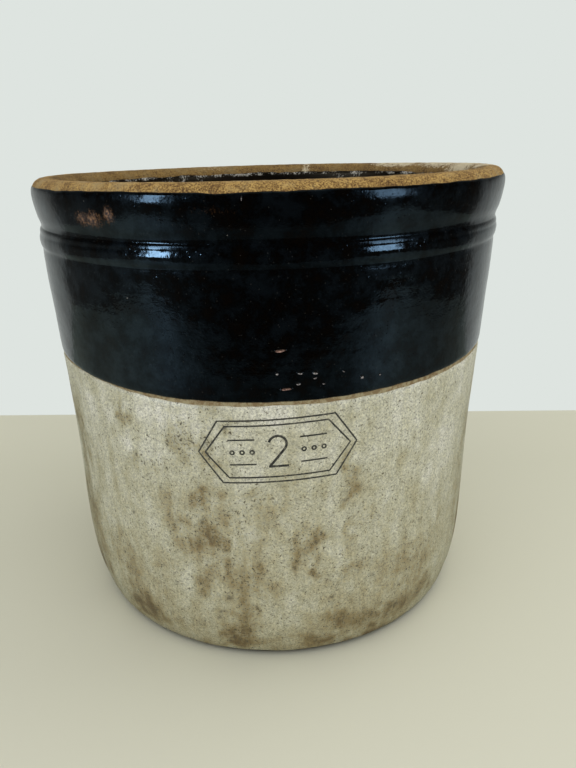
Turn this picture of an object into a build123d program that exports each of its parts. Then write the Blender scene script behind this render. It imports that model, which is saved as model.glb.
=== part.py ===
"""Two-gallon stoneware crock: a turned clay body with three fused glaze coats.

Millimetres, +Z up. The origin is the centre of the flat base, on the surface it stands on.
Every piece is a profile in the X-Z half plane, turned once round the Z axis. In a profile,
the first coordinate is the radius and the second is the height. Tight curves are turned as
short straight cuts, which stay within 0.7 mm of the curve and keep the solids light.
"""

import os

from build123d import *

# Clay body, outside
crock_height = 235.8        # base to the crest of the rim
wall_foot_radius = 114.8    # at the bottom of the wall
wall_flare = 6.2            # how much wider the wall is at its top, under the bead
heel_height = 28.0          # rounded lower part, base to the start of the wall
heel_inset = 11.3           # edge of the flat base, in from the bottom of the wall
heel_side_reach = 8.0       # length of the heel curve's upper handle, along the wall
heel_base_reach = 6.2       # length of the heel curve's lower handle, along the base

# Bead and rolled lip
bead_height = 8.8
bead_projection = 1.1       # crown of the bead beyond the top of the wall
notch_depth = 0.1           # root of the notch over the bead, inside the top of the wall
neck_height = 14.0          # notch to the widest part of the lip
lip_projection = 2.5        # widest part of the lip beyond the top of the wall
lip_roll_height = 8.0       # widest part of the lip to the crest
lip_roll_width = 6.0        # widest part of the lip in to the flat crest
crest_width = 3.0           # flat ground ring that the crock was stacked on in the kiln

# Clay body, inside
mouth_edge_radius = 7.5     # rounding from the crest into the mouth
floor_thickness = 12.0
cove_radius = 20.0          # between the wall and the floor

# Glaze coats
slip_thickness = 0.5        # dark slip on the upper outside
skirt_thickness = 0.4       # grey-white Bristol glaze on the lower outside
lining_thickness = 0.5      # dark slip inside
bare_rim_outside = 3.1      # unglazed clay from the crest down to the dark slip, outside
bare_rim_inside = 8.5       # unglazed clay from the crest down to the lining, inside
skirt_top_height = 144.0    # upper edge of the skirt glaze
clay_line_height = 2.6      # bare clay left between the skirt and the dark slip
bare_foot_height = 2.0      # bare clay over the base, wiped so that it didn't stick in the kiln

# Straight cuts in each tight curve
cuts_in = {"heel": 4, "bead": 3, "neck": 2, "roll": 3, "mouth": 3, "cove": 4}

# Places that follow from the sizes above
foot_radius = wall_foot_radius - heel_inset
wall_top_radius = wall_foot_radius + wall_flare
lip_radius = wall_top_radius + lip_projection
lip_height = crock_height - lip_roll_height
notch_height = lip_height - neck_height
bead_foot_height = notch_height - bead_height
crest_outer_radius = lip_radius - lip_roll_width
crest_inner_radius = crest_outer_radius - crest_width
mouth_radius = crest_inner_radius - mouth_edge_radius
mouth_edge_height = crock_height - mouth_edge_radius
slip_bottom_height = skirt_top_height + clay_line_height
slip_top_height = crock_height - bare_rim_outside
lining_top_height = crock_height - bare_rim_inside


def straight_cuts(curve, count):
    """A curve as a given number of straight cuts between points on it."""
    return Polyline([curve @ (step / count) for step in range(count + 1)])


def outer_curve(coat=0.0):
    """The outside from the base to the crest, moved out by the thickness of a coat."""
    foot = Vector(foot_radius + coat, 0)
    heel_top = Vector(wall_foot_radius + coat, heel_height)
    bead_foot = Vector(wall_top_radius + coat, bead_foot_height)
    notch = Vector(wall_top_radius - notch_depth + coat, notch_height)
    lip = Vector(lip_radius + coat, lip_height)

    wall = Line(heel_top, bead_foot)
    heel_base_handle = foot + Vector(heel_base_reach, 0)
    heel_side_handle = heel_top - (wall % 0) * heel_side_reach
    heel = Bezier(foot, heel_base_handle, heel_side_handle, heel_top)
    bead = SagittaArc(bead_foot, notch, -bead_projection)
    neck = TangentArc(lip, notch, tangent=(0, -1))
    roll = EllipticalCenterArc(
        (crest_outer_radius, lip_height),
        lip_roll_width + coat,
        lip_roll_height + coat,
        start_angle=0,
        arc_size=90,
    )
    return [
        straight_cuts(heel, cuts_in["heel"]),
        wall,
        straight_cuts(bead, cuts_in["bead"]),
        straight_cuts(neck, cuts_in["neck"]),
        straight_cuts(roll, cuts_in["roll"]),
    ]


def outer_region(coat=0.0):
    """Everything inside the outside surface, from the axis outwards."""
    top = crock_height + coat
    edges = outer_curve(coat)
    edges.append(Line((crest_outer_radius, top), (0, top)))
    edges.append(Line((0, top), (0, 0)))
    edges.append(Line((0, 0), (foot_radius + coat, 0)))
    return make_face(edges)


def hollow_region(coat=0.0):
    """The space inside the crock, made smaller by the thickness of a coat."""
    floor_height = floor_thickness + coat
    wall_radius = mouth_radius - coat
    cove_centre = (mouth_radius - cove_radius, floor_thickness + cove_radius)
    mouth_centre = (crest_inner_radius, mouth_edge_height)
    cove = straight_cuts(CenterArc(cove_centre, cove_radius - coat, 270, 90), cuts_in["cove"])
    mouth_edge = CenterArc(mouth_centre, mouth_edge_radius + coat, 180, -90)
    rounding = straight_cuts(mouth_edge, cuts_in["mouth"])
    edges = [
        Line((0, floor_height), cove @ 0),
        cove,
        Line(cove @ 1, (wall_radius, mouth_edge_height)),
        rounding,
        Line(rounding @ 1, (0, crock_height + coat)),
        Line((0, crock_height + coat), (0, floor_height)),
    ]
    return make_face(edges)


def level_band(low, high):
    """The part of the half plane between two heights."""
    reach = lip_radius + max(slip_thickness, skirt_thickness)
    return Pos(reach / 2, (low + high) / 2) * Rectangle(reach, high - low)


def turned(region):
    """A region of the half plane, turned once round the axis."""
    return revolve(Plane.XZ * region, axis=Axis.Z)


def stoneware_body():
    return turned(outer_region() - hollow_region())


def slip_glaze_band():
    coat = outer_region(slip_thickness) - outer_region()
    return turned(coat & level_band(slip_bottom_height, slip_top_height))


def bristol_glaze_skirt():
    coat = outer_region(skirt_thickness) - outer_region()
    return turned(coat & level_band(bare_foot_height, skirt_top_height))


def slip_glaze_lining():
    coat = hollow_region() - hollow_region(lining_thickness)
    return turned(coat & level_band(0, lining_top_height))


pieces = {
    "stoneware_body": stoneware_body(),
    "slip_glaze_band": slip_glaze_band(),
    "bristol_glaze_skirt": bristol_glaze_skirt(),
    "slip_glaze_lining": slip_glaze_lining(),
}

os.makedirs("parts", exist_ok=True)
for name, piece in pieces.items():
    export_step(piece, f"parts/{name}.step")
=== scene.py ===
import functools
import math

import bpy
import numpy as np
from mathutils import Matrix


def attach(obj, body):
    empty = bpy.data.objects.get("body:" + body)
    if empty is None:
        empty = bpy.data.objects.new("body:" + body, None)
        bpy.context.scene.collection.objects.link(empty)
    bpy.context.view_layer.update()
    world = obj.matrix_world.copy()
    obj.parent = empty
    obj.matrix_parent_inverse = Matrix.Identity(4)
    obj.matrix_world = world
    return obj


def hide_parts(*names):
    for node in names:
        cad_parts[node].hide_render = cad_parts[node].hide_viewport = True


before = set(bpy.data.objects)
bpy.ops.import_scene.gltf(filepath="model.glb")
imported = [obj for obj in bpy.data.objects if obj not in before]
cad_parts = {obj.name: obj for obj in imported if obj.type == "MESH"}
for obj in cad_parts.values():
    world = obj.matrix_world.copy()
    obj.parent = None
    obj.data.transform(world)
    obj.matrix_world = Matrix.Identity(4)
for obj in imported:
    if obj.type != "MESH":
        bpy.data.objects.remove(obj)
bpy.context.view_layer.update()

mm = 0.001


# ---- the form that all the pieces share, in mm; azimuth 0 faces -Y and grows towards +X

form = {
    "aroundCount": 480,
    "height": 235.8,
    "rimTilt": 0.0148,          # the rim stands a little higher at +X, because the pot warped in the kiln
    "rimWiden": (0.45, 0.35),   # the rim is wider at +X and oval, mm
    "footShift": 0.7,           # the foot sits this far towards +X
    "neckLean": -0.25,          # the wall under the neck leans this far towards +X
    "beadLean": 0.5,            # the bead's upper roll stands higher at -X than at +X, mm
    "crestLift": (1.10, 0.96),  # the roll of the lip stands higher in front and lower behind
    # outside of the clay: heights and radii from the foot to the widest part of the lip
    "wallHeights": [
        0, 0.6, 1.6, 3, 5, 7.5, 10, 13, 17, 21, 25, 30, 37, 50, 75, 99, 112, 124, 136, 149, 161, 174, 186, 194, 199,
        204, 209, 213, 214.5, 216, 218, 221, 224, 226.5, 229],
    "wallRadii": [
        103.6, 105.6, 107.3, 108.6, 109.4, 110.3, 111.0, 111.8, 112.9, 113.7, 114.3, 114.9, 115.4, 115.9, 116.1,
        116.4, 116.9, 117.5, 118.0, 118.8, 119.4, 120.1, 120.8, 121.1, 121.25, 121.15, 121.0, 120.85, 120.95, 121.3,
        122.0, 122.75, 123.3, 123.65, 123.8],
    # the bead that stands on it, a double roll with a fine groove below: heights and how far it stands out
    "beadHeights": [
        200.2, 201.4, 202.4, 203.3, 204.0, 204.8, 205.8, 206.8, 207.6, 208.3, 209.0, 209.7, 210.3, 210.9, 211.5,
        212.0, 212.4, 212.8, 213.1, 213.6],
    "beadOut": [
        0, -0.05, -0.06, 0.05, 0.32, 0.66, 0.90, 1.03, 1.09, 1.07, 0.95, 0.78, 0.72, 0.77, 0.73, 0.60, 0.40, 0.14,
        0.01, 0],
    "meanRadius": 118,          # turns an angle on the wall into mm
    "lipHeight": 229.0, "rollWidth": 6.3, "rollHeight": 6.8, "crestWidth": 3.0,
    "mouthRadius": 107.0, "mouthRounding": 7.5, "floorHeight": 12.0, "coveRadius": 20.0,
    "clearance": 0.01,          # how far a coat's front stands off the clay at its edges
    "sunk": 0.12,               # how deep a coat's hidden back lies in the clay
    "thinning": (0.5, 4),       # how far from its edge a coat gets its depth, and its swells
    "swell": (0.05, 22),        # height and size of the slow swells in the coats
    "turnedLines": (0.012, 9.1, 5.3),   # height of the turning lines in the coats, and their two spacings
}


def smoothCurve(x, knots, values):
    # cubic Hermite curve through the knots; the slope at a knot is the slope between its two neighbours
    knots, values = np.asarray(knots, float), np.asarray(values, float)
    slopes = np.gradient(values, knots)
    i = np.clip(np.searchsorted(knots, x) - 1, 0, len(knots) - 2)
    span = knots[i + 1] - knots[i]
    t = np.clip((x - knots[i]) / span, 0, 1)
    return (values[i] * (2 * t**3 - 3 * t**2 + 1) + values[i + 1] * (3 * t**2 - 2 * t**3)
            + span * (slopes[i] * (t**3 - 2 * t**2 + t) + slopes[i + 1] * (t**3 - t**2)))


def smoothStep(x, low, high):
    # 0 below low, 1 above high, 3t^2 - 2t^3 between them
    t = np.clip((x - low) / (high - low), 0, 1)
    return t * t * (3 - 2 * t)


def waveNoise(azimuth, along, cell, seed, count=28):
    # sum of cosine waves with whole numbers of turns round the axis, about cell mm long, roughly from -1 to 1
    rng = np.random.default_rng(seed)
    total = np.zeros(np.broadcast(azimuth, along).shape)
    top = max(2, int(2 * math.pi * 120 / cell))
    for turns, rate, phase in zip(rng.integers(-top, top + 1, count), rng.uniform(-1, 1, count),
                                  rng.uniform(0, 2 * math.pi, count)):
        total += np.cos(turns * azimuth + rate * 2 * math.pi * along / cell + phase)
    return total / math.sqrt(count)


def clayRadius(height):
    # radius of the clay at a height: the curve through the wall points plus the bead
    return (smoothCurve(height, form["wallHeights"], form["wallRadii"])
            + smoothCurve(height, form["beadHeights"], form["beadOut"]))


def outsideProfile(low, high, wallStep):
    # (radius, height) rows up the outside, close on the heel, the bead and the neck and wallStep apart on the
    # wall; then a quarter of a squarish oval over the lip's roll, x = a cos(t)^0.8 and y = b sin(t)^0.8
    lip = form["lipHeight"]
    marks = np.concatenate([np.arange(*run) for run in ((0, 2, 0.5), (2, 30, 1.4), (30, 198, wallStep),
                                                        (198, 216, 0.4), (216, 229, 1.1))])
    marks = marks[(marks > low + 0.3) & (marks < min(high, lip) - 0.3)]
    levels = np.concatenate([[low], marks, [min(high, lip)]])
    rows = np.stack([clayRadius(levels), levels], 1)
    if high > lip:
        top = math.asin(min(1, (high - lip) / form["rollHeight"]) ** 1.25)
        turn = np.linspace(0, top, max(6, int(top * 14)))[1:]
        across = clayRadius(lip) - form["rollWidth"] + form["rollWidth"] * np.clip(np.cos(turn), 0, 1) ** 0.8
        roll = np.stack([across, lip + form["rollHeight"] * np.sin(turn) ** 0.8], 1)
        rows = np.concatenate([rows, roll])
    return rows


def insideProfile(top=None, wallCount=26):
    # (radius, height) rows down the inside: quarter circle at the mouth, straight wall, cove, floor
    mouth, rounding, cove = form["mouthRadius"], form["mouthRounding"], form["coveRadius"]
    edge, low = form["height"] - rounding, form["floorHeight"] + cove
    begin = math.pi / 2 if top is None else math.pi - math.asin((top - edge) / rounding)
    turn = np.linspace(begin, math.pi, 11)
    start = np.stack([mouth + rounding + rounding * np.cos(turn), edge + rounding * np.sin(turn)], 1)
    wall = np.stack([np.full(wallCount, mouth), edge + (low - edge) * np.linspace(0, 1, wallCount) ** 1.3], 1)
    turn = np.linspace(0, -math.pi / 2, 12)[1:]
    bend = np.stack([mouth - cove + cove * np.cos(turn), low + cove * np.sin(turn)], 1)
    floor = np.stack([np.linspace(bend[-1, 0], 6, 9)[1:], np.full(8, form["floorHeight"])], 1)
    return np.concatenate([start, wall[1:], bend, floor])


def profileNormals(rows):
    # outward normal of a (radius, height) line: its tangent turned a quarter turn clockwise
    tangent = np.gradient(rows, axis=0)
    tangent /= np.linalg.norm(tangent, axis=1, keepdims=True) + 1e-9
    return np.stack([tangent[:, 1], -tangent[:, 0]], 1)


def turnedGrid(rows):
    # turns (radius, height) rows round the axis
    azimuth = np.arange(form["aroundCount"]) * 2 * math.pi / form["aroundCount"]
    radius = rows[:, :1] + 0 * azimuth
    return radius, rows[:, 1:] + 0 * azimuth, np.broadcast_to(azimuth, radius.shape)


def shellOf(rows, grid, lift, backStep, backFirst=False):
    # a coat as one closed line: its front, lifted along each row's normal, and its back, which takes every
    # backStep-th row and lies sunk in the clay
    radius, height, azimuth = grid
    normals = profileNormals(rows)
    front = (radius + normals[:, :1] * lift, height + normals[:, 1:] * lift, azimuth)
    back = np.arange(len(rows) - 1, -1, -backStep)
    back = np.append(back, 0) if back[-1] != 0 else back
    behind = (radius[back] - normals[back, :1] * form["sunk"], height[back] - normals[back, 1:] * form["sunk"],
              azimuth[back])
    order = (behind, front) if backFirst else (front, behind)
    return [np.concatenate(pair) for pair in zip(*order)]


def toSpace(radius, height, azimuth):
    # cylinder coordinates in mm to metres, with the warp of the kiln: the rim a little oval and wider at +X,
    # leaning up towards +X, its roll stretched in front, and the foot shifted a little
    share = np.clip(height / form["height"], 0, 1)
    wide, oval = form["rimWiden"]
    around = (wide * smoothStep(height, 206, 222) * np.sin(azimuth) - oval * share**2 * np.cos(2 * azimuth)
              + form["neckLean"] * smoothStep(height, 130, 190) * np.sin(azimuth))
    radius = radius + np.clip(radius / 100, 0, 1) * around
    height = height - form["beadLean"] * np.sin(azimuth) * np.exp(-((height - 211.8) / 2.2) ** 2)
    front, behind = form["crestLift"]
    stretch = behind + (front - behind) * smoothStep(np.cos(azimuth), -0.9, 0.1)
    lip = form["lipHeight"]
    height = np.where(height > lip, lip + (height - lip) * stretch, height)
    x = radius * np.sin(azimuth) + form["footShift"] * (1 - smoothStep(height, 0, 60))
    return np.stack([x, -radius * np.cos(azimuth), height + form["rimTilt"] * x * share], -1) * mm


def buildMesh(name, patches, smooth=True):
    # each patch is a grid (rows, columns, 3) closed across its columns; its ends are ringed or get a pole
    points, quads, corners, marks, offset = [], [], [np.zeros((0, 3), int)], {}, 0
    for patch in patches:
        grid, ring = patch["grid"], patch.get("ring")
        rows, columns = grid.shape[:2]
        index = np.arange(rows * columns).reshape(rows, columns)
        index = np.vstack([index, index[:1]]) if ring else index
        after = np.roll(index, -1, 1)
        quad = np.stack([index[:-1], after[:-1], after[1:], index[1:]], -1).reshape(-1, 4)
        vertices, fans = grid.reshape(-1, 3), []
        if not ring:
            for pole, end, way in ((rows * columns, 0, 1), (rows * columns + 1, -1, -1)):
                fans.append(np.stack([np.full(columns, pole), after[end], index[end]], -1)[:, ::way])
            vertices = np.concatenate([vertices, grid[[0, -1]].mean(1)])
        # six times the volume; a patch that is inside out is turned over
        volume = 0
        for part in (quad[:, :3], quad[:, [0, 2, 3]], *fans):
            a, b, c = (vertices[part[:, k]] for k in range(3))
            volume += np.einsum("ij,ij", a, np.cross(b, c))
        if volume < 0:
            quad, fans = quad[:, ::-1], [fan[:, ::-1] for fan in fans]
        points.append(vertices)
        quads.append(quad + offset)
        corners += [fan + offset for fan in fans]
        for key, value in patch.get("marks", {}).items():
            full = np.broadcast_to(value, (rows, columns)).astype(float)
            ends = [] if ring else [full[0].mean(), full[-1].mean()]
            marks.setdefault(key, []).append(np.append(full, ends))
        offset += len(vertices)
    points, quads, tris = (np.concatenate(group) for group in (points, quads, corners))
    mesh = bpy.data.meshes.new(name)
    mesh.vertices.add(len(points))
    mesh.vertices.foreach_set("co", points.astype(np.float32).ravel())
    mesh.loops.add(quads.size + tris.size)
    mesh.loops.foreach_set("vertex_index", np.concatenate([quads.ravel(), tris.ravel()]).astype(np.int32))
    mesh.polygons.add(len(quads) + len(tris))
    starts = np.concatenate([np.arange(len(quads)) * 4, quads.size + np.arange(len(tris)) * 3])
    mesh.polygons.foreach_set("loop_start", starts.astype(np.int32))
    mesh.polygons.foreach_set("use_smooth", np.full(len(starts), smooth))
    mesh.update(calc_edges=True)
    mesh.validate()
    for key, value in marks.items():
        layer = mesh.attributes.new(key, "FLOAT", "POINT")
        layer.data.foreach_set("value", np.concatenate(value).astype(np.float32))
    piece = bpy.data.objects.new(name, mesh)
    bpy.context.scene.collection.objects.link(piece)
    print("built", name, len(points), "points")
    return piece


def patchesOf(azimuth, height, spots, flatness=1.0):
    # soft oval spots on the wall; each is (azimuth in degrees, height, half width, half height, strength)
    # a spot is strength x exp(-d^(2 flatness)), with d the distance in half widths
    total = np.zeros(azimuth.shape)
    for place, level, wide, tall, strength in spots:
        turn = (azimuth - math.radians(place) + math.pi) % (2 * math.pi) - math.pi
        across, up = turn * form["meanRadius"] / wide, (height - level) / tall
        total = np.maximum(total, strength * np.exp(-(across**2 + up**2) ** flatness))
    return total


# ---- materials

def linearColor(text):
    # sRGB hex to linear
    channels = [int(text[i:i + 2], 16) / 255 for i in (1, 3, 5)]
    return tuple(c / 12.92 if c <= 0.04045 else ((c + 0.055) / 1.055) ** 2.4 for c in channels) + (1.0,)


def addNode(tree, kind, inputs=None, **settings):
    # adds a node with its settings, then fills each input: with a link from a socket or from a node's Fac or
    # first live output, with an sRGB hex colour, or with a plain value; unless told otherwise, a Mix node mixes
    # colours, and a Math node multiplies its first two inputs and adds a third one
    node = tree.nodes.new("ShaderNode" + kind)
    if kind == "Mix":
        node.data_type = "RGBA"
    if kind == "Math":
        node.operation = "MULTIPLY_ADD" if 2 in inputs else "MULTIPLY"
    for key, value in settings.items():
        setattr(node, key, value)
    for socket, value in (inputs or {}).items():
        if isinstance(value, bpy.types.Node):
            value = value.outputs.get("Fac") or next(output for output in value.outputs if output.enabled)
        if isinstance(value, bpy.types.NodeSocket):
            tree.links.new(value, node.inputs[socket])
        else:
            node.inputs[socket].default_value = linearColor(value) if isinstance(value, str) else value
    return node


def nodesOf(owner):
    # clears a material's or world's nodes and gives the function that adds new ones to it
    owner.use_nodes = True
    owner.node_tree.nodes.clear()
    return functools.partial(addNode, owner.node_tree)


def makeMaterial(build, look):
    # a material named as its build function, which is given the function that adds nodes, the place on the
    # piece, the look and the look's noises, and returns the shader's inputs; a noise is listed as its size in
    # mm, detail, roughness and distortion
    material = bpy.data.materials.new(build.__name__)
    add = nodesOf(material)
    place = add("TexCoord").outputs["Object"]
    noises = [add("TexNoise", {"Vector": place, "Scale": perMm(size), "Detail": detail, "Roughness": roughness,
                               "Distortion": distortion})
              for size, detail, roughness, distortion in look["noises"]]
    add("OutputMaterial", {"Surface": add("BsdfPrincipled", build(add, place, look, *noises))})
    return material


def rampStops(node, stops):
    # colour ramp stops as (place, hex or grey) pairs
    elements = node.color_ramp.elements
    while len(elements) < len(stops):
        elements.new(0.5)
    for element, (place, tone) in zip(elements, stops):
        element.position = place
        element.color = linearColor(tone) if isinstance(tone, str) else (tone, tone, tone, 1)
    return node


def perMm(size):
    # noise scale, in waves per metre, for a feature of that many mm
    return 1000 / size


def specksOf(add, place, size, keepOver, farEdge, nearEdge, strength):
    # dots about size mm apart, which fade in from farEdge to nearEdge of that; keepOver is the share of dots
    # left out, and None keeps them all
    dots = add("TexVoronoi", {"Vector": place, "Scale": perMm(size), "Randomness": 1.0})
    mask = add("MapRange", {"Value": dots, "From Min": farEdge, "From Max": nearEdge, "To Max": strength})
    if keepOver is None:
        return mask
    keep = add("Math", {0: dots.outputs["Color"], 1: keepOver}, operation="GREATER_THAN")
    return add("Math", {0: mask, 1: keep})


# bare stoneware: fired clay with no glaze, turned and wiped; dry, sandy and ochre, with iron specks
clayLook = {
    "tones": [(0.435, "#5A3C14"), (0.5, "#95753B"), (0.555, "#BC9A56")],
    # inner is the darker colour of the mouth's inside slope, painted shade
    "inner": "#4C3814", "grey": "#877A5A", "speck": "#3A2716", "residue": "#C6BA9B",
    # the darkest colour below is for the ring at the foot: partly grime, partly painted contact shadow
    "seam": "#A29674", "seamDark": "#836E4C", "grime": "#2B2620",
    # cloud, clump and grain; the grain is drawn coarser than the real sand of about 0.3 mm, to show
    "noises": [(12, 4, 0.6, 0), (2.4, 4, 0.7, 0), (0.68, 3, 0.8, 0)],
    "cloudShare": 0.2, "clumpShare": 0.18, "grainShare": 0.62, "greyShare": 0.6, "innerShare": 0.49,
    "specks": (2.4, 0.45, 0.28, 0.14, 0.5),     # as specksOf takes them
    "roughness": 0.85, "specular": 0.3, "bump": 0.5,
}


def bareStoneware(add, place, look, cloud, clump, grain):
    inner, residue, seam, grime = (add("Attribute", attribute_name=key)
                                   for key in ("inner", "residue", "seam", "grime"))
    tone = add("Math", {0: grain, 1: look["grainShare"]})
    for source, share in ((clump, look["clumpShare"]), (cloud, look["cloudShare"])):
        tone = add("Math", {0: source, 1: share, 2: tone})
    greyed = add("MapRange", {"Value": cloud, "From Min": 0.52, "From Max": 0.68, "To Max": look["greyShare"]})
    # the inside slope of the mouth darkened as painted shade
    stained = add("Math", {0: inner, 1: look["innerShare"]})
    crust = add("Math", {0: clump, 1: grain}, operation="ADD")
    crust = add("Math", {0: residue, 1: crust})
    crust = add("MapRange", {"Value": crust, "From Min": 0.84, "From Max": 1.02, "To Max": 0.85})
    seamTone = add("MapRange", {"Value": clump, "From Min": 0.42, "From Max": 0.58})
    seamColor = add("Mix", {0: seamTone, 6: look["seamDark"], 7: look["seam"]})
    color = rampStops(add("ValToRGB", {"Fac": tone}), look["tones"])
    # over the clay's tone: grey clouds, the darker slope of the mouth as painted shade, iron specks, pale residue,
    # the unevenly stained strip between the two glazes, and the dark ring at the foot, partly grime and partly
    # painted contact shadow
    specks = specksOf(add, place, *look["specks"])
    for mask, over in ((greyed, look["grey"]), (stained, look["inner"]), (specks, look["speck"]),
                       (crust, look["residue"]), (seam, seamColor), (grime, look["grime"])):
        color = add("Mix", {0: mask, 6: color, 7: over})
    bump = add("Bump", {"Strength": look["bump"], "Distance": 0.0004, "Height": tone})
    return {"Base Color": color, "Roughness": look["roughness"], "IOR": 1.5,
            "Specular IOR Level": look["specular"], "Normal": bump}


# dark slip glaze: iron-rich clay slip that melted to black glass; wet gloss, faint turning lines, pinholes
slipLook = {
    "tones": [(0.36, "#070402"), (0.5, "#020202"), (0.66, "#05080B")],
    # the tint turns the gloss's reflections blue, a painted light colour for the bluish daylight they mirror
    "haze": "#11161A", "rust": "#A87B4C", "rustDark": "#43250F", "speck": "#7A7872", "tint": "#C6E2F6",
    # mottle, dust, crumble and orange peel; the dust is drawn coarser than real, to show
    "noises": [(9, 6, 0.65, 0), (1.1, 6, 0.8, 0.4), (1.3, 5, 0.8, 0), (3.2, 3, 0.6, 0)],
    "lineMm": 2.0,
    # as specksOf takes them
    "pinholes": (7.5, 0.78, 0.05, 0.03, 0.8), "fineSpecks": (2.6, None, 0.12, 0.04, 0.1),
    "pits": (2.2, None, 0.0, 0.16, 1.0),
    "hazeShare": 0.25, "roughness": 0.07, "hazeRoughness": 0.08, "dullRoughness": 0.06, "wornRoughness": 0.5,
    "specular": 0.42, "dullLoss": 0.7,
}


def darkSlipGlaze(add, place, look, mottle, dust, crumble, peel):
    dull, worn = (add("Attribute", attribute_name=key) for key in ("dull", "worn"))
    # dust and wear on the gloss: fine speckle gathered in blotches; it shows where the gloss mirrors something
    gather = add("Math", {0: dust, 1: 0.55, 2: mottle})
    haze = add("MapRange", {"Value": gather, "From Min": 0.72, "From Max": 0.86})
    hazed = add("Math", {0: haze, 1: look["hazeShare"]})
    mirror = add("MapRange", {"Value": gather, "From Min": 0.66, "From Max": 0.90,
                              "To Min": look["specular"] * 0.7, "To Max": look["specular"] * 1.25})
    # wiped thin on the lip and the bead's top, where it mirrors less: times (1 - loss x dull)
    thin = add("Math", {0: dull, 1: -look["dullLoss"], 2: 1.0})
    mirror = add("Math", {0: mirror, 1: thin})
    # turning lines: noise stretched round the pot
    flat = add("Mapping", {"Vector": place, "Scale": (0.04, 0.04, 1.0)})
    lines = add("TexNoise", {"Vector": flat, "Scale": perMm(look["lineMm"]), "Detail": 3})
    pinholes, fineSpecks, pits = (specksOf(add, place, *look[key]) for key in ("pinholes", "fineSpecks", "pits"))
    specks = add("Math", {0: pinholes, 1: fineSpecks}, operation="MAXIMUM")
    # worn to the clay in crumbs: the spot plus 1.6 crumble, over a threshold, times the spot
    bared = add("Math", {0: crumble, 1: 1.6, 2: worn})
    bared = add("MapRange", {"Value": bared, "From Min": 1.28, "From Max": 1.85})
    bared = add("Math", {0: bared, 1: worn}, use_clamp=True)
    rustTone = add("MapRange", {"Value": crumble, "From Min": 0.46, "From Max": 0.64})
    rustTone = add("Math", {0: rustTone, 1: worn}, use_clamp=True)
    rust = add("Mix", {0: rustTone, 6: look["rustDark"], 7: look["rust"]})
    color = rampStops(add("ValToRGB", {"Fac": mottle}), look["tones"])
    for mask, over in ((hazed, look["haze"]), (specks, look["speck"]), (bared, rust)):
        color = add("Mix", {0: mask, 6: color, 7: over})
    rough = look["roughness"]
    for mask, more in ((haze, look["hazeRoughness"]), (dull, look["dullRoughness"]), (bared, look["wornRoughness"])):
        rough = add("Math", {0: mask, 1: more, 2: rough})
    bump = {}
    for strength, distance, relief in ((0.5, 0.00006, lines), (0.6, 0.00016, peel), (0.5, 0.0001, pits)):
        bump = {"Normal": add("Bump", {"Strength": strength, "Distance": distance, "Height": relief, **bump})}
    # the blue specular tint is painted light colour for the daylight the gloss mirrors
    return {"Base Color": color, "Roughness": rough, "IOR": 1.5, "Specular IOR Level": mirror,
            "Specular Tint": look["tint"], **bump}


# bristol glaze: zinc glaze fired grey-white; dull satin with orange peel, iron specks and brown water stains
bristolLook = {
    "tones": [
        (0.05, "#E2E0D5"), (0.30, "#CAC8B3"), (0.48, "#B8B498"), (0.64, "#A89F7E"), (0.80, "#93845D"),
        (1.0, "#72603F")],
    "speck": "#2F2B24", "dust": "#5E5744",
    # cloud, blotch, grain and pepper; grain and pepper are drawn coarser than the real 0.3 to 0.5 mm, to show
    "noises": [(30, 5, 0.62, 0), (7, 6, 0.66, 0.3), (1.0, 3, 0.8, 0), (1.3, 3, 0.7, 0.6)],
    "streakMm": 7,
    # as specksOf takes them; the fine ones are drawn coarser than real too
    "fineSpecks": (1.7, None, 0.26, 0.12, 0.5), "specks": (4.2, 0.4, 0.12, 0.06, 0.75),
    # the level of dirt, and what cloud, blotch, streak, grain, pale areas, soil with painted shade and stains add to
    # it
    "level": 0.342, "dirt": (0.5, 0.5, 0.55, 0.3, -0.22, 0.26), "stainDepth": 0.46,
    "tear": (1.8, 3.8, 2.4),    # how much blotch, grain and streak tear the stains
    "grainShade": (0.50, 1.50), "pepperGathers": 0.09,
    "roughness": 0.5, "specular": 0.35,
}


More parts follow.
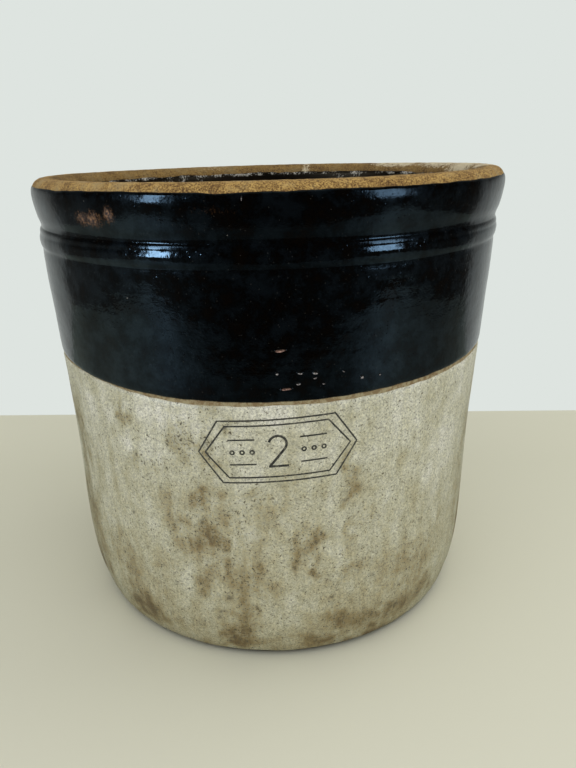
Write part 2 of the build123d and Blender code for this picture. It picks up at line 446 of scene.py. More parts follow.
def bristolGlaze(add, place, look, cloud, blotch, grain, pepper):
    upright = add("Mapping", {"Vector": place, "Scale": (1.0, 1.0, 0.2)})
    streak = add("TexNoise", {"Vector": upright, "Scale": perMm(look["streakMm"]), "Detail": 5, "Roughness": 0.62})
    bright, stain, soil, dots = (add("Attribute", attribute_name=key) for key in ("bright", "stain", "soil", "dots"))
    # one number says how dirty or thin the glaze is, and where shade is painted towards the foot and the sides: a
    # level, four noises about it, pale thick areas, that darkening and stains
    dirt = look["level"] - 0.5 * sum(look["dirt"][:4])
    for source, weight in zip((cloud, blotch, streak, grain, bright, soil), look["dirt"]):
        dirt = add("Math", {0: source, 1: weight, 2: dirt})
    # a stain is the painted spot torn by blotches, grain and runs: spot x (1 + sum of weight x (noise - 0.5))
    tear = 1 - 0.5 * sum(look["tear"])
    for source, weight in zip((blotch, grain, streak), look["tear"]):
        tear = add("Math", {0: source, 1: weight, 2: tear})
    tear = add("Math", {0: stain, 1: tear}, use_clamp=True)
    dirt = add("Math", {0: tear, 1: look["stainDepth"], 2: dirt})
    body = rampStops(add("ValToRGB", {"Fac": dirt}), look["tones"])
    # the grain also lightens and darkens it
    darkest, lightest = look["grainShade"]
    shade = add("MapRange", {"Value": grain, "From Min": 0.3, "From Max": 0.7, "To Min": darkest, "To Max": lightest})
    shade = add("CombineXYZ", {0: shade, 1: shade, 2: shade})
    color = add("Mix", {0: 1.0, 6: body, 7: shade}, blend_type="MULTIPLY")
    # iron: fine specks close together, pepper that sits closer in the stains, and fewer larger specks and dots
    gathered = add("Math", {0: tear, 1: look["pepperGathers"], 2: pepper})
    peppered = add("MapRange", {"Value": gathered, "From Min": 0.60, "From Max": 0.67, "To Max": 1.0})
    fineSpecks, specks = (specksOf(add, place, *look[key]) for key in ("fineSpecks", "specks"))
    specks = add("Math", {0: specks, 1: dots}, operation="MAXIMUM")
    for mask, over in ((fineSpecks, look["dust"]), (peppered, look["dust"]), (specks, look["speck"])):
        color = add("Mix", {0: mask, 6: color, 7: over})
    relief = add("Math", {0: blotch, 1: 0.8, 2: grain})
    bump = add("Bump", {"Strength": 0.45, "Distance": 0.00025, "Height": relief})
    return {"Base Color": color, "Roughness": look["roughness"], "IOR": 1.5,
            "Specular IOR Level": look["specular"], "Normal": bump}


# lining glaze: the same slip inside, brushed thin; dark gloss with lime scuffs under the mouth
liningLook = {
    "tones": [(0.35, "#050302"), (0.7, "#140D06")], "lowTones": [(0.38, "#27190F"), (0.62, "#412A18")],
    "scuff": "#AFADA3", "tint": "#FFD8AE",
    "noises": [(25, 5, 0.5, 0), (7, 2, 0.5, 0)],    # cloud and patches
    "scuffMm": 0.9, "lineMm": 2.5,      # the scuffs are drawn coarser than real, to show
    "lowHeights": (0.212, 0.190),       # metres; from the first down to the second the lower look sets in
    "roughness": 0.45, "lowRoughness": 0.2, "scuffRoughness": 0.5, "specular": 0.18, "lowSpecular": 0.5,
}


def liningGlaze(add, place, look, cloud, patchy):
    scuff = add("Attribute", attribute_name="scuff")
    # brown and glossier from 190 mm down, near black and duller above 212 mm, blending between
    level = add("SeparateXYZ", {0: place}).outputs["Z"]
    begin, full = look["lowHeights"]
    low = add("MapRange", {"Value": level, "From Min": begin, "From Max": full})
    high, deep = (rampStops(add("ValToRGB", {"Fac": cloud}), look[key]) for key in ("tones", "lowTones"))
    body = add("Mix", {0: low, 6: high, 7: deep})
    flat = add("Mapping", {"Vector": place, "Scale": (0.04, 0.04, 1.0)})
    lines = add("TexNoise", {"Vector": flat, "Scale": perMm(look["lineMm"]), "Detail": 3})
    upright = add("Mapping", {"Vector": place, "Scale": (1.0, 1.0, 0.6)})
    broken = add("TexNoise", {"Vector": upright, "Scale": perMm(look["scuffMm"]), "Detail": 4, "Roughness": 0.7})
    # scuffs: the spot times (0.8 patches + broken noise), over a threshold
    scuffed = add("Math", {0: patchy, 1: 0.8, 2: broken})
    scuffed = add("Math", {0: scuff, 1: scuffed})
    scuffed = add("MapRange", {"Value": scuffed, "From Min": 0.91, "From Max": 1.04, "To Max": 0.95})
    color = add("Mix", {0: scuffed, 6: body, 7: look["scuff"]})
    rough = add("MapRange", {"Value": low, "To Min": look["roughness"], "To Max": look["lowRoughness"]})
    rough = add("Math", {0: scuffed, 1: look["scuffRoughness"], 2: rough})
    mirror = add("MapRange", {"Value": low, "To Min": look["specular"], "To Max": look["lowSpecular"]})
    bump = add("Bump", {"Strength": 0.3, "Distance": 0.0002, "Height": broken})
    bump = add("Bump", {"Strength": 0.8, "Distance": 0.0003, "Height": lines, "Normal": bump})
    return {"Base Color": color, "Roughness": rough, "IOR": 1.5, "Specular IOR Level": mirror,
            "Specular Tint": look["tint"], "Normal": bump}


# stamping ink under the glaze: charcoal lines, uneven where the stamp pressed less
inkLook = {
    "tones": [(0.38, "#2E2E2B"), (0.55, "#44433D"), (0.68, "#7C7A69")],
    "noises": [(1.6, 4, 0.7, 0)], "roughness": 0.5, "specular": 0.3,
}


def stampInk(add, place, look, wear):
    color = rampStops(add("ValToRGB", {"Fac": wear}), look["tones"])
    return {"Base Color": color, "Roughness": look["roughness"], "Specular IOR Level": look["specular"]}


# blisters: bubbles that burst in the kiln; a glossy black lip round a dry pinkish bottom; the whitish grey in the
# small ones is a painted glint
blisterLook = {
    "lip": "#040404",
    # pink is the bare bottom of the long ones; grey is the painted glint on the small ones
    "pink": [(0.42, "#5A3B30"), (0.60, "#B08E7C")], "grey": [(0.40, "#564D4A"), (0.62, "#B5AFAB")],
    "noises": [(0.7, 3, 0.8, 0)], "lipRoughness": 0.12, "bareRoughness": 0.7, "specular": 0.3,
}


def blisterGlaze(add, place, look, grit):
    bare, pale = (add("Attribute", attribute_name=key) for key in ("bare", "pale"))
    pink, grey = (rampStops(add("ValToRGB", {"Fac": grit}), look[key]) for key in ("pink", "grey"))
    # the small ones take the grey of the painted glint, the long ones the pink of bare clay
    tone = add("Mix", {0: pale, 6: pink, 7: grey})
    bared = add("MapRange", {"Value": bare, "From Min": 0.2, "From Max": 0.85})
    color = add("Mix", {0: bared, 6: look["lip"], 7: tone})
    rough = add("MapRange", {"Value": bared, "To Min": look["lipRoughness"], "To Max": look["bareRoughness"]})
    return {"Base Color": color, "Roughness": rough, "Specular IOR Level": look["specular"]}


# ---- pieces

def finishPiece(piece, build, look, slot, *nodes):
    piece.data.materials.append(makeMaterial(build, look))
    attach(piece, "root")
    if nodes:
        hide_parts(*nodes)
    return piece


clayBody = {
    "uneven": 0.10, "unevenMm": (9, 3.5),       # unevenness of the bare rim, and the sizes of its two waves
    # pale kiln residue on the rim: azimuth in degrees, height, half width, half height, strength
    "residue": [
        (132, 236.5, 40, 6, 1.12), (112, 236.5, 44, 6, 1.12), (96, 235, 36, 12, 1.12), (82, 236.5, 24, 5, 1.1),
        (166, 233, 9, 10, 0.95), (-160, 235, 30, 8, 0.82)],
}


def makeClayBody():
    # base, outside, crest and inside as one closed line, turned round the axis
    base = np.stack([np.linspace(8, form["wallRadii"][0] - 1, 7), np.zeros(7)], 1)
    outside = outsideProfile(0, form["height"], 5.6)    # wide rows, as the coats cover the wall
    crest = np.linspace(outside[-1, 0], outside[-1, 0] - form["crestWidth"], 5)[1:-1]
    crest = np.stack([crest, np.full(3, form["height"])], 1)
    rows = np.concatenate([base, outside, crest, insideProfile()])
    radius, height, azimuth = turnedGrid(rows)
    along = rows[:, :1] + height
    wide, fine = (waveNoise(azimuth, along, cell, seed) for cell, seed in zip(clayBody["unevenMm"], (3, 4)))
    uneven = smoothStep(height, 226, 232) * clayBody["uneven"] * (wide * 0.6 + fine * 0.4)
    normals = profileNormals(rows)
    radius = radius + normals[:, :1] * uneven
    height = height + normals[:, 1:] * uneven
    # the inside rows carry the inner mark, painted shade on the mouth's slope
    inside = np.arange(len(rows)) >= len(base) + len(outside) + len(crest)
    # below 4.4 mm the foot's ring darkens: partly grime, partly painted contact shadow
    marks = {"residue": patchesOf(azimuth, height, clayBody["residue"]),
             "seam": smoothStep(height, 0.5, 3) * (1 - smoothStep(height, 170, 200)),
             "grime": 1 - smoothStep(height, 2.8, 4.4), "inner": inside[:, None] * 1.0}
    piece = buildMesh("clayBody", [{"grid": toSpace(radius, height, azimuth), "marks": marks}])
    return finishPiece(piece, bareStoneware, clayLook, "stoneware_clay", "stoneware_body")


def makeCoat(name, look, wallStep, seed, edges, marks):
    # a coat on the outside: the clay's line between two edges that wander round the pot, lifted by the depth,
    # thinning to nothing over about a millimetre at each edge, and closed behind by a coarser line sunk in the clay
    low, high, lip = look["low"], look["high"], form["lipHeight"]
    rows = outsideProfile(low, high, wallStep)
    radius, height, azimuth = turnedGrid(rows)
    # each edge wanders by its own function of azimuth, which fades out as exp(-(distance / reach)^2)
    away = (rows[:, 1:] - low, high - rows[:, 1:])
    shift = sum(np.exp(-(far / reach) ** 2) * edge(azimuth) for far, reach, edge in zip(away, look["reach"], edges))
    moved = clayRadius(np.clip(height + shift, 0, lip)) - clayRadius(height)
    radius = radius + np.where(height < lip - 3, moved, 0)
    height = height + shift
    near = np.minimum(*away)
    thin, even = form["thinning"]
    lift = look["depth"] * (1 - np.exp(-near / thin)) + form["clearance"]
    lift = lift + coatSwell(azimuth, height, seed) * np.clip(near / even, 0, 1)
    radius, height, azimuth = shellOf(rows, (radius, height, azimuth), lift, 3)
    masks = {key: patchesOf(azimuth, height, spots) for key, spots in marks.items()}
    if "stain" in marks:
        # stains have ragged outlines: their places are pushed about by noise before the spots are drawn
        push, rise = (look["ragged"] * waveNoise(azimuth, height, 11, seed + more) for more in (5, 6))
        pushed = azimuth + push / form["meanRadius"]
        masks["stain"] = patchesOf(pushed, height + rise, marks["stain"], look["stainFlatness"])
    return buildMesh(name, [{"grid": toSpace(radius, height, azimuth), "ring": True, "marks": masks}])


def coatSwell(azimuth, height, seed):
    # slow swells of the glaze and shallow uneven turning lines, in mm
    (swell, size), (line, coarse, fine) = form["swell"], form["turnedLines"]
    lines = np.sin(height * 2 * math.pi / coarse + 0.8) + np.sin(height * 2 * math.pi / fine + np.sin(azimuth + 1))
    return swell * waveNoise(azimuth, height, size, seed + 2) + line * lines


def roundTheWall(places, values):
    # a smooth function of azimuth through values at places in degrees, which start at -180 and end at 180
    def edge(azimuth):
        turn = np.degrees((azimuth + math.pi) % (2 * math.pi) - math.pi)
        return smoothCurve(turn, places, values)
    return edge


slipBand = {
    "low": 146.2, "high": 232.6, "depth": 0.5, "reach": (14, 3), "waver": 0.12,
    # how far the dipped lower edge stands over its plain level: azimuth in degrees, mm
    "lowPlaces": [-180, -120, -90, -57, -50, -43, -33, -20, 0, 12, 23, 37, 43, 50, 57, 90, 120, 180],
    "lowValues": [
        0.6, 1.2, 2.0, 2.2, 1.4, 0.6, -0.1, -0.6, -0.6, -0.35, 0.45, 1.0, 1.4, 1.6, 2.0, 2.2, 1.4, 0.6],
    # the same for the upper edge, where the lip was wiped bare
    "highPlaces": [-180, -90, -60, -25, -8, 0, 12, 30, 60, 90, 180],
    "highValues": [0, 0.4, 0.1, 0.35, -0.2, 0, 0.1, 0, 0.1, 0.4, 0],
    # spots where handling wore the glaze brown: azimuth, height, half width, half height, strength
    "worn": [
        (-39.5, 222, 7, 4.5, 0.95), (-36.5, 222, 7, 5, 1.0), (-32, 224, 4, 4.5, 1.0), (-10, 226.4, 18, 3.0, 0.5),
        (150, 224, 8, 4, 0.9), (96, 209, 9, 3, 0.9), (-120, 209, 12, 3, 0.9)],
    # where the gloss is dulled: over the lip and the bead's upper roll
    "dull": [(0, 231, 5000, 5, 0.85), (0, 212.3, 5000, 1.4, 0.8)],
}


def makeSlipBand():
    look = slipBand
    dipped, wiped = (roundTheWall(look[key + "Places"], look[key + "Values"]) for key in ("low", "high"))
    edges = (lambda a: dipped(a) + look["waver"] * waveNoise(a, 0 * a, 9, 20),
             lambda a: wiped(a) + look["waver"] * waveNoise(a, 0 * a, 11, 21))
    piece = makeCoat("slipBand", look, 1.6, 20, edges, {key: look[key] for key in ("worn", "dull")})
    return finishPiece(piece, darkSlipGlaze, slipLook, "dark_slip_glaze", "slip_glaze_band")


bristolSkirt = {
    "low": 3.0, "high": 144.3, "depth": 0.4, "reach": (3, 14), "waver": 0.15, "footWaver": 0.35,
    # how far the dipped upper edge stands over its plain level: azimuth in degrees, mm
    "highPlaces": [-180, -120, -90, -57, -50, -43, -33, -26, -20, 0, 12, 23, 37, 43, 50, 57, 90, 120, 180],
    "highValues": [
        0.6, 1.2, 2.0, 3.1, 3.2, 2.2, 0.85, 0.05, -0.75, -0.4, -0.4, 0.1, 1.0, 1.4, 1.7, 2.1, 2.0, 1.2, 0.6],
    # stains: azimuth in degrees, height, half width, half height, strength; ragged is how far noise pushes
    # their outlines, mm, and a flatness over 1 makes their edges steeper
    "ragged": 2.2, "stainFlatness": 1.6,
    "stain": [
        (-37, 132, 3, 8, 0.55), (-61, 102, 12, 30, 0.45), (-62, 64, 14, 28, 0.5), (-61, 24, 16, 24, 0.5),
        (-14, 139, 4, 10, 0.42), (-15, 122, 4, 13, 0.42), (-21, 124, 7, 6, 0.38), (-10, 133, 5, 3, 0.42),
        (-14, 116, 2, 3, 0.6), (-18, 94, 6, 8, 0.62), (-16, 76, 6, 11, 0.68), (-21, 70, 11, 7, 0.5),
        (-27, 89, 7, 6, 0.3), (-47, 53, 16, 11, 0.25), (-41, 38, 6, 20, 0.42), (-37, 17, 12, 7, 0.7),
        (-39, 23, 9, 7, 0.55), (-15, 54, 3, 5, 0.55), (-7, 53, 8, 14, 0.48), (-8, 32, 7, 13, 0.5),
        (-9, 16, 9, 9, 0.8), (-13, 11, 5, 6, 0.7), (-34, 110, 5, 5, 0.35), (17, 108, 4, 14, 0.45),
        (16, 95, 3, 4, 0.45), (6, 74, 6, 13, 0.42), (9, 72, 4, 12, 0.6), (8, 56, 2, 5, 0.75), (4, 61, 3, 5, 0.5),
        (20, 57, 4, 4, 0.5), (17, 76, 3, 12, 0.32), (15, 23, 7, 7, 0.6), (12, 10, 11, 5, 0.6),
        (28, 18, 22, 7, 0.55), (33, 20, 12, 6, 0.55), (37, 45, 20, 14, 0.3), (61, 77, 11, 42, 0.2),
        (23, 81, 8, 5, 0.25), (-3, 89, 9, 14, 0.22), (25, 5, 16, 6, 0.5), (3, 107, 6, 16, 0.15),
        (-27, 57, 16, 6, 0.1), (-9, 86, 7, 11, 0.3), (45, 20, 10, 10, 0.4), (-13, 87, 10, 8, 0.4),
        (-12, 58, 10, 9, 0.5), (-6, 76, 9, 8, 0.35), (-21, 125, 9, 13, 0.6), (-5, 97, 9, 4, 0.35),
        (-14.5, 72, 7, 6, 0.9), (-20, 73, 8, 10, 0.3), (-19, 61, 7, 5, 0.25), (-15, 48, 5, 10, 0.3),
        (-2, 46, 6, 6, 0.3), (3, 64, 6, 5, 0.25), (16, 69, 5, 5, 0.3), (16, 50, 6, 5, 0.28), (-13.5, 98, 5, 5, 0.3),
        (-24, 80, 7, 8, 0.5), (-18, 45, 5, 6, 0.4), (-14, 66, 6, 9, 0.4), (-43, 124, 5, 9, 0.2),
        (-29, 110, 7, 6, 0.35), (-36, 131, 3, 7, 0.25)],
    # darker towards the foot and at the sides: partly painted shade where the light falls off, partly stains
    "soil": [
        (0, 0, 5000, 75, 1.0), (44, 30, 34, 45, 0.5), (-62, 60, 22, 80, 0.4), (25, 128, 40, 16, 0.5),
        (29, 100, 24, 30, 0.6), (-16.5, 74, 9, 13, 0.95), (150, 70, 60, 70, 0.6)],
    "farStains": 46,            # stains scattered on the side away from the mark
    # where the glaze lies thick and pale
    "bright": [
        (-24, 136, 26, 9, 1.0), (-41, 128, 8, 7, 0.6), (-50, 134, 9, 7, 0.4), (-50, 57, 8, 8, 0.6),
        (-34, 52, 9, 9, 0.4), (-30, 120, 14, 12, 0.6), (0, 140, 14, 6, 0.5), (30, 128, 26, 18, 0.5),
        (45, 85, 12, 22, 0.4), (-36, 118, 6, 8, 1.0), (52, 95, 14, 40, 0.3), (7, 36, 6, 6, 0.8),
        (2, 28, 12, 14, 0.9), (-22, 50, 8, 12, 0.7), (-6, 108, 12, 12, 0.5), (-30, 70, 8, 12, 0.6),
        (37, 66, 9, 9, 0.4), (20, 85, 5, 4, 0.35), (33, 137, 6, 5, 0.4), (40, 125, 6, 5, 0.4),
        (11.5, 33, 5, 4, 0.35), (27, 22, 5, 4, 0.35), (-18.5, 80, 4, 4, 0.4), (-9.5, 90, 4, 4, 0.35),
        (-1.5, 82, 4, 4, 0.35)],
    # iron spots: azimuth, height, half width, half height, strength
    "dots": [
        (-11.6, 41, 1.1, 1.2, 1), (13.2, 39, 0.9, 0.7, 1), (24.2, 46, 0.8, 0.8, 0.9), (16.1, 97, 0.8, 1.0, 0.8),
        (16.2, 93, 0.8, 0.8, 0.8), (-10.4, 133, 0.9, 0.8, 0.8), (-17.4, 83, 0.9, 0.9, 0.9),
        (-14.4, 31, 0.9, 0.8, 0.9), (-9, 110, 0.7, 0.7, 0.7), (32.9, 20, 1.2, 0.8, 0.9), (19.6, 142, 0.8, 0.8, 0.8),
        (4.1, 59, 0.9, 0.7, 0.8), (-27.9, 98, 0.8, 0.8, 0.8), (-14.8, 27, 0.9, 0.7, 0.8),
        (-37.4, 78, 0.9, 0.9, 0.8), (-25.8, 44, 0.8, 1.1, 0.8), (39.5, 67, 0.9, 0.8, 0.7)],
}


def farStains(count, seed):
    # soft spots scattered over the sides and back; some long and upright like runs, some wide near the foot
    rng = np.random.default_rng(seed)
    azimuth = rng.uniform(66, 292, count)
    height = rng.beta(1.1, 1.5, count) * 138 + 4
    upright = rng.uniform(size=count) < 0.5
    wide = np.where(upright, rng.uniform(3, 8, count), rng.uniform(7, 20, count))
    tall = np.where(upright, rng.uniform(10, 28, count), rng.uniform(5, 14, count))
    strength = rng.uniform(0.2, 0.58, count)
    return list(zip(azimuth, height, wide, tall, strength))


def makeBristolSkirt():
    look = bristolSkirt
    dipped = roundTheWall(look["highPlaces"], look["highValues"])
    edges = (lambda a: look["footWaver"] * waveNoise(a, 0 * a, 18, 40),
             lambda a: dipped(a) + look["waver"] * waveNoise(a, 0 * a, 10, 41))
    # soil also carries the painted shade towards the foot and the sides
    marks = {key: look[key] for key in ("stain", "soil", "bright", "dots")}
    marks["stain"] = marks["stain"] + farStains(look["farStains"], 7)
    piece = makeCoat("bristolSkirt", look, 1.5, 40, edges, marks)
    return finishPiece(piece, bristolGlaze, bristolLook, "bristol_glaze", "bristol_glaze_skirt")


darkLining = {
    "top": 230.8, "depth": 0.5,
    "wave": 0.28, "swell": 0.05,        # how far the top edge wanders, and how far the coat swells
    # scuffs: azimuth in degrees, height, half width, half height, strength
    "scuff": [(180, 230.0, 5000, 3.6, 1.0), (152, 228, 34, 6, 1.0), (215, 227.5, 60, 7, 1.0)],
}


def makeDarkLining():
    # the inside line from the top edge down to the floor's middle, lifted into the hollow; behind it the same
    # line sunk in the clay, so that the coat is a closed bowl
    look = darkLining
    rows = insideProfile(look["top"], 60)
    radius, height, azimuth = turnedGrid(rows)
    down = look["top"] - rows[:, 1:]
    wander = waveNoise(azimuth, 0 * azimuth, 30, 60) + 0.5 * waveNoise(azimuth, 0 * azimuth, 6, 62)
    shift = np.exp(-(down / 6) ** 2) * look["wave"] * wander
    swell = look["swell"] * waveNoise(azimuth, height, 25, 61)
    swell = swell * np.clip(down / 5, 0, 1) * smoothStep(radius, 60, 100)
    lift = look["depth"] * (1 - np.exp(-down / 0.6)) + form["clearance"] + swell
    radius, height, azimuth = shellOf(rows, (radius, height + shift, azimuth), lift, 2, True)
    marks = {"scuff": patchesOf(azimuth, height, look["scuff"])}
    piece = buildMesh("darkLining", [{"grid": toSpace(radius, height, azimuth), "marks": marks}])
    return finishPiece(piece, liningGlaze, liningLook, "lining_glaze", "slip_glaze_lining")


capacityMark = {
    # centre: azimuth in degrees, height; the stamp leans by tilt degrees; the wall's radius there turns mm into
    # an angle; a strip is line mm wide, from sunk under the glaze's face to proud over it
    "azimuth": 0.8, "height": 122, "tilt": 2.5, "wallRadius": 117,
    "line": 0.75, "proud": 0.05, "sunk": 0.08,
    # frame: half width, half height, length of its slanting ends, and how much smaller the inner line is
    "frame": (36, 15.5, 10), "inset": 2.6,
    # beside the numeral: places and radius of the dots, ends and height of the bars
    "dots": (11.5, 16, 20.5), "dotRadius": 0.9, "bar": (10, 22, 6.2),
}


def ribbon(line, width, closed):
    # a flat thin strip along a line drawn on the wall, across it by half the width each way
    look, line = capacityMark, np.asarray(line, float)
    tangent = np.roll(line, -1, 0) - np.roll(line, 1, 0) if closed else np.gradient(line, axis=0)
    tangent /= np.linalg.norm(tangent, axis=1, keepdims=True)
    side = np.stack([-tangent[:, 1], tangent[:, 0]], 1) * width / 2
    across = np.stack([line + side, line + side, line - side, line - side], 1)
    low, top = -look["sunk"], look["proud"]
    out = np.broadcast_to(np.array([low, top, top, low]), across.shape[:2])
    lean = math.radians(look["tilt"])
    u = across[..., 0] * math.cos(lean) - across[..., 1] * math.sin(lean)
    height = look["height"] + (across[..., 0] * math.sin(lean) + across[..., 1] * math.cos(lean))
    azimuth = math.radians(look["azimuth"]) + u / look["wallRadius"]
    surface = clayRadius(height) + bristolSkirt["depth"] + form["clearance"] + coatSwell(azimuth, height, 40)
    return {"grid": toSpace(surface + out, height, azimuth), "ring": closed}


def evenly(corners, closed=False, step=1.2):
    # points along straight runs between corners, about a step apart
    corners = np.asarray(corners, float)
    ends = np.roll(corners, -1, 0) if closed else corners[1:]
    runs = []
    for start, end in zip(corners, ends):
        count = max(2, int(np.linalg.norm(end - start) / step))
        runs.append(start + (end - start) * np.arange(count)[:, None] / count)
    return np.concatenate(runs if closed else runs + [corners[-1:]])


def arc(x, y, radius, start, end, count):
    turn = np.radians(np.linspace(start, end, count))
    return np.stack([x + radius * np.cos(turn), y + radius * np.sin(turn)], 1)


def makeCapacityMark():
    # a plain 2 in a long six-sided frame with a second line inside it, three dots and two bars at each side
    look, strips = capacityMark, []
    for inset in (0, look["inset"]):
        wide, tall, cut = look["frame"]
        w, h = wide - inset * 1.2, tall - inset
        frameCorners = [(-w, 0), (-w + cut, h), (w - cut, h), (w, 0), (w - cut, -h), (-w + cut, -h)]
        strips.append(ribbon(evenly(frameCorners, True), look["line"], True))
    numeral = np.concatenate([arc(0, 3.6, 3.9, 165, -38, 26), evenly([(3.0, 1.0), (-4.1, -7.6)])[1:]])
    for stroke in (numeral, evenly([(-4.5, -7.6), (4.4, -7.6)])):
        strips.append(ribbon(stroke, look["line"] * 1.5, False))
    begin, end, level = look["bar"]
    for side in (-1, 1):
        for place in look["dots"]:
            strips.append(ribbon(arc(side * place, 0, look["dotRadius"], 0, 345, 16), look["line"], True))
        for y in (level, -level):
            strips.append(ribbon(evenly([(side * begin, y), (side * end, y)]), look["line"], False))
    piece = buildMesh("capacityMark", strips, False)
    return finishPiece(piece, stampInk, inkLook, "bristol_glaze")


openBlisters = {
    # azimuth in degrees, height, half width, half height
    "places": [
        (1.5, 169.1, 2.9, 0.9), (2.7, 151.7, 2.6, 0.9), (0.8, 158.9, 0.8, 1.0), (5.5, 158.7, 1.5, 0.8),
        (5.1, 153.9, 1.5, 0.8), (8.7, 158.4, 1.7, 0.9), (8.6, 156.1, 1.2, 0.7), (10.5, 153.2, 0.9, 0.7),
        (18.8, 154.1, 0.9, 1.3), (14.7, 157.9, 0.7, 0.7), (23.1, 153.9, 0.6, 0.6), (-4.9, 230.4, 0.3, 0.9),
        (134, 160, 1.6, 0.9), (-128, 156, 1.4, 0.9), (170, 170, 1.2, 0.8)],
    "wallRadius": 119,      # turns mm into an angle
    # from the middle out: reach in half widths, height over the glaze in mm, and how bare of glaze it is, which on
    # the small ones is a painted glint
    "reach": [0.2, 0.45, 0.62, 0.72, 0.82, 0.92, 1.0, 0.95, 0.5],
    "lift": [0.02, 0.02, 0.06, 0.20, 0.24, 0.12, -0.10, -0.35, -0.40],
    "bare": [1, 1, 0.9, 0.35, 0, 0, 0, 0, 0],
    "longOver": 2.5, "smallUnder": 0.5,     # half widths that count as long and as small
}


def makeOpenBlisters():
    # each is a low crater: a raised ring falling to a shallow floor, with its underside sunk in the coat
    look, patches = openBlisters, []
    turn = np.linspace(0, 2 * math.pi, 24, endpoint=False)
    reach, lift, bare = (np.array(look[key])[:, None] for key in ("reach", "lift", "bare"))
    for number, (place, height, wide, tall) in enumerate(look["places"]):
        wobble = 1 + 0.16 * np.sin(2 * turn + number) + 0.08 * np.sin(3 * turn + 2 * number)
        u = reach * wide * np.cos(turn) * wobble
        level = height + reach * tall * np.sin(turn) * wobble
        azimuth = math.radians(place) + u / look["wallRadius"]
        radius = clayRadius(level) + slipBand["depth"] + form["clearance"] + coatSwell(azimuth, level, 20) + lift
        # the floor of a long one is bare, its lower side barer and brighter, partly a painted highlight; the others
        # show only a crescent of painted glint, and the smallest are painted glint all over
        isLong = wide > look["longOver"]
        lowSide = np.sin(turn + 0.5 * math.sin(3 * number))
        share = np.clip(0.85 - 0.5 * lowSide if isLong else 0.35 - 1.3 * lowSide, 0, 1)
        share = share if wide > look["smallUnder"] else 1 + 0 * lowSide
        marks = {"bare": bare * share, "pale": 0.0 if isLong else 1.0}
        patches.append({"grid": toSpace(radius, level, azimuth), "marks": marks})
    piece = buildMesh("openBlisters", patches)
    return finishPiece(piece, blisterGlaze, blisterLook, "dark_slip_glaze")


makeClayBody()
makeSlipBand()
makeBristolSkirt()
makeDarkLining()
makeCapacityMark()
makeOpenBlisters()


# ---- table, light and camera

stageLook = {
    # the nearer table colour is paler as painted light; the gloss colour tints the table blue in reflections as
    # painted daylight
    "table": "#CBCAB5", "tableNear": "#D5D4C1", "tableGloss": "#D2E4F0", "noises": [],
    "farEdge": 0.2166, "slant": -0.0307, "nearEdge": -0.46, "halfWidth": 0.68, "thick": 0.03,     # metres
    "wall": "#DEE4E0", "worldLight": 0.80,
    # what a glossy glaze sees of the room, by azimuth in degrees: a pale wall behind, a darker room in front
    "roomPlaces": [
        -180, -122, -116, -104, -95, -80, -60, -40, -28, -15, 0, 12, 30, 50, 65, 80, 100, 112, 119, 135, 180],
    "roomLight": [
        0.72, 0.64, 0.17, 0.14, 0.16, 0.16, 0.20, 0.08, 0.04, 0.02, 0.01, 0.02, 0.03, 0.06, 0.07, 0.07, 0.05, 0.08,
        0.58, 0.70, 0.72],
    # how much of the table's colour the gloss sees, by azimuth round the crock; its front lies in the shade
    "shadePlaces": [-180, -118, -92, -80, -60, -45, -30, 0, 25, 38, 50, 58, 70, 85, 100, 112, 125, 180],
    "shadeLight": [
        0.85, 0.70, 0.52, 0.80, 0.85, 0.50, 0.20, 0.15, 0.18, 0.32, 0.75, 0.75, 0.48, 0.34, 0.40, 0.60, 0.85, 0.85],
    # lamps: azimuth and elevation in degrees, distance, width, height in metres, radiance; the two windows are
    # there for the gloss and give no diffuse light, the other two the reverse
    "windowLight": "#CDE7FF", "lampAim": (0, 0, 0.18),
    "leftWindow": (-51.5, 14, 1.5, 0.22, 0.78, 34.0),
    "rightWindow": (52.5, 14, 1.5, 0.38, 0.78, 12.0),
    "frontFill": (0, 60, 1.6, 2.4, 1.0, 0.85),
    "rightSky": (110, 45, 1.6, 1.2, 1.2, 1.1),
}


def roundRamp(add, vector, places, values):
    # grey values by azimuth in degrees round the +Z axis, 0 at -Y
    turned = add("Mapping", {"Vector": vector, "Rotation": (0, 0, math.radians(90))}, vector_type="POINT")
    around = add("TexGradient", {"Vector": turned}, gradient_type="RADIAL")
    stops = [((place + 180) / 360, value) for place, value in zip(places, values)]
    return rampStops(add("ValToRGB", {"Fac": around}), stops)


def paintedTable(add, place, look):
    # painted light: a little paler towards the front; gloss sees its colour times the painted shade and a blue cast,
    # painted daylight
    across = add("SeparateXYZ", {0: place}).outputs["Y"]
    nearness = add("MapRange", {"Value": across, "From Min": 0.10, "From Max": -0.18})
    paint = add("Mix", {0: nearness, 6: look["table"], 7: look["tableNear"]})
    shade = roundRamp(add, place, look["shadePlaces"], look["shadeLight"])
    # the blue gloss colour is painted daylight on the table, seen only in reflections
    shade = add("Mix", {0: 1.0, 6: shade, 7: look["tableGloss"]}, blend_type="MULTIPLY")
    glossy = add("LightPath").outputs["Is Glossy Ray"]
    paint = add("Mix", {0: glossy, 6: paint, 7: shade}, blend_type="MULTIPLY")
    return {"Base Color": paint, "Roughness": 0.6, "Specular IOR Level": 0.2}


def makeTable():
    # a table top, its far edge behind the crock
    look = stageLook
    x, near, far, lean, thick = (look[key] for key in ("halfWidth", "nearEdge", "farEdge", "slant", "thick"))
    top = [(-x, near), (x, near), (x, far + lean * x), (-x, far - lean * x)]
    corners = [(a, b, 0) for a, b in top] + [(a, b, -thick) for a, b in top]
    faces = [(0, 1, 2, 3), (7, 6, 5, 4), (0, 4, 5, 1), (1, 5, 6, 2), (2, 6, 7, 3), (3, 7, 4, 0)]
    mesh = bpy.data.meshes.new("table")
    mesh.from_pydata(corners, [], faces)
    table = bpy.data.objects.new("table", mesh)
    bpy.context.scene.collection.objects.link(table)
    mesh.materials.append(makeMaterial(paintedTable, look))


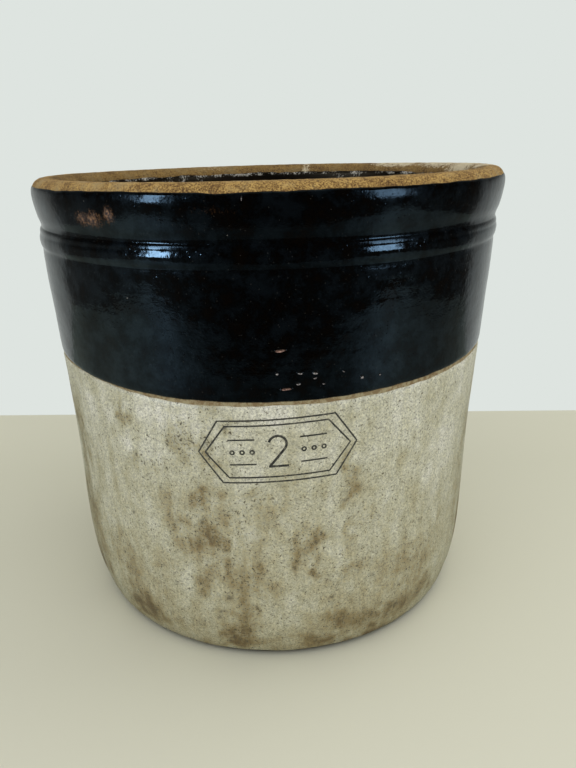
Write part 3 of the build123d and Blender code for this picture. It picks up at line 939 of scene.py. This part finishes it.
def makeWorld():
    # soft even room light; the camera sees the pale wall, and gloss sees the wall behind and the room in front
    look = stageLook
    world = bpy.data.worlds.new("room")
    bpy.context.scene.world = world
    add = nodesOf(world)
    path = add("LightPath").outputs
    seen = add("Math", {0: path["Is Camera Ray"], 1: path["Is Transmission Ray"]}, operation="MAXIMUM")
    around = add("TexCoord").outputs["Generated"]
    ramp = roundRamp(add, around, look["roomPlaces"], look["roomLight"])
    # as the gloss sees it, the room is darker above eye level and has a pale ceiling
    upward = add("SeparateXYZ", {0: around}).outputs["Z"]
    above = add("MapRange", {"Value": upward, "From Min": -0.02, "From Max": 0.20, "To Min": 1.0, "To Max": 0.3})
    ceiling = add("MapRange", {"Value": upward, "From Min": 0.80, "From Max": 0.95, "To Max": 0.6})
    strength = add("Math", {0: ramp, 1: above, 2: ceiling})
    room, wall, reflected = (add("Background", {"Color": color, "Strength": light}) for color, light in (
        ("#FFFFFF", look["worldLight"]), (look["wall"], 1.0), (look["wall"], strength)))
    mix = add("MixShader", {0: path["Is Glossy Ray"], 1: room, 2: reflected})
    mix = add("MixShader", {0: seen, 1: mix, 2: wall})
    add("OutputWorld", {"Surface": mix})


def linkPosed(item, name, columns, place):
    # puts a lamp or camera in the scene with the axes given as three columns
    posed = bpy.data.objects.new(name, item)
    pose = Matrix([[column[k] for column in columns] for k in range(3)]).to_4x4()
    pose.translation = tuple(place)
    posed.matrix_world = pose
    bpy.context.scene.collection.objects.link(posed)
    return posed


def makeLamp(name, azimuth, elevation, distance, width, height, radiance):
    # an area lamp aimed at the upper part of the crock; power = radiance x pi x area
    a, e = math.radians(azimuth), math.radians(elevation)
    out = np.array([math.sin(a) * math.cos(e), -math.cos(a) * math.cos(e), math.sin(e)])
    right = np.array([math.cos(a), math.sin(a), 0])
    isWindow = name.endswith("Window")
    lamp = bpy.data.lights.new(name, "AREA")
    lamp.shape = "RECTANGLE"
    lamp.size, lamp.size_y = width, height
    lamp.energy = radiance * math.pi * width * height
    lamp.color = linearColor(stageLook["windowLight"])[:3] if isWindow else (1, 1, 1)
    place = np.array(stageLook["lampAim"]) + out * distance
    posed = linkPosed(lamp, name, (right, np.cross(out, right), out), place)
    posed.visible_diffuse, posed.visible_glossy = not isWindow, isWindow


cameraLook = {"place": (0, -0.37795, 0.24961), "yaw": 1.395, "pitch": 20.251, "roll": -0.650, "lens": 30.525}


def makeCamera():
    yaw, pitch, roll = (math.radians(cameraLook[k]) for k in ("yaw", "pitch", "roll"))
    ahead = np.array([math.sin(yaw) * math.cos(pitch), math.cos(yaw) * math.cos(pitch), -math.sin(pitch)])
    level = np.array([math.cos(yaw), -math.sin(yaw), 0])
    up = np.cross(level, ahead)
    right = math.cos(roll) * level + math.sin(roll) * up
    top = -math.sin(roll) * level + math.cos(roll) * up
    data = bpy.data.cameras.new("camera")
    data.lens, data.sensor_width, data.clip_start = cameraLook["lens"], 36, 0.01
    bpy.context.scene.camera = linkPosed(data, "camera", (right, top, -ahead), cameraLook["place"])


makeTable()
makeWorld()
for lampName in ("leftWindow", "rightWindow", "frontFill", "rightSky"):
    makeLamp(lampName, *stageLook[lampName])
makeCamera()
bpy.context.scene.view_settings.view_transform = "Standard"
print("stage, lamps and camera ready")
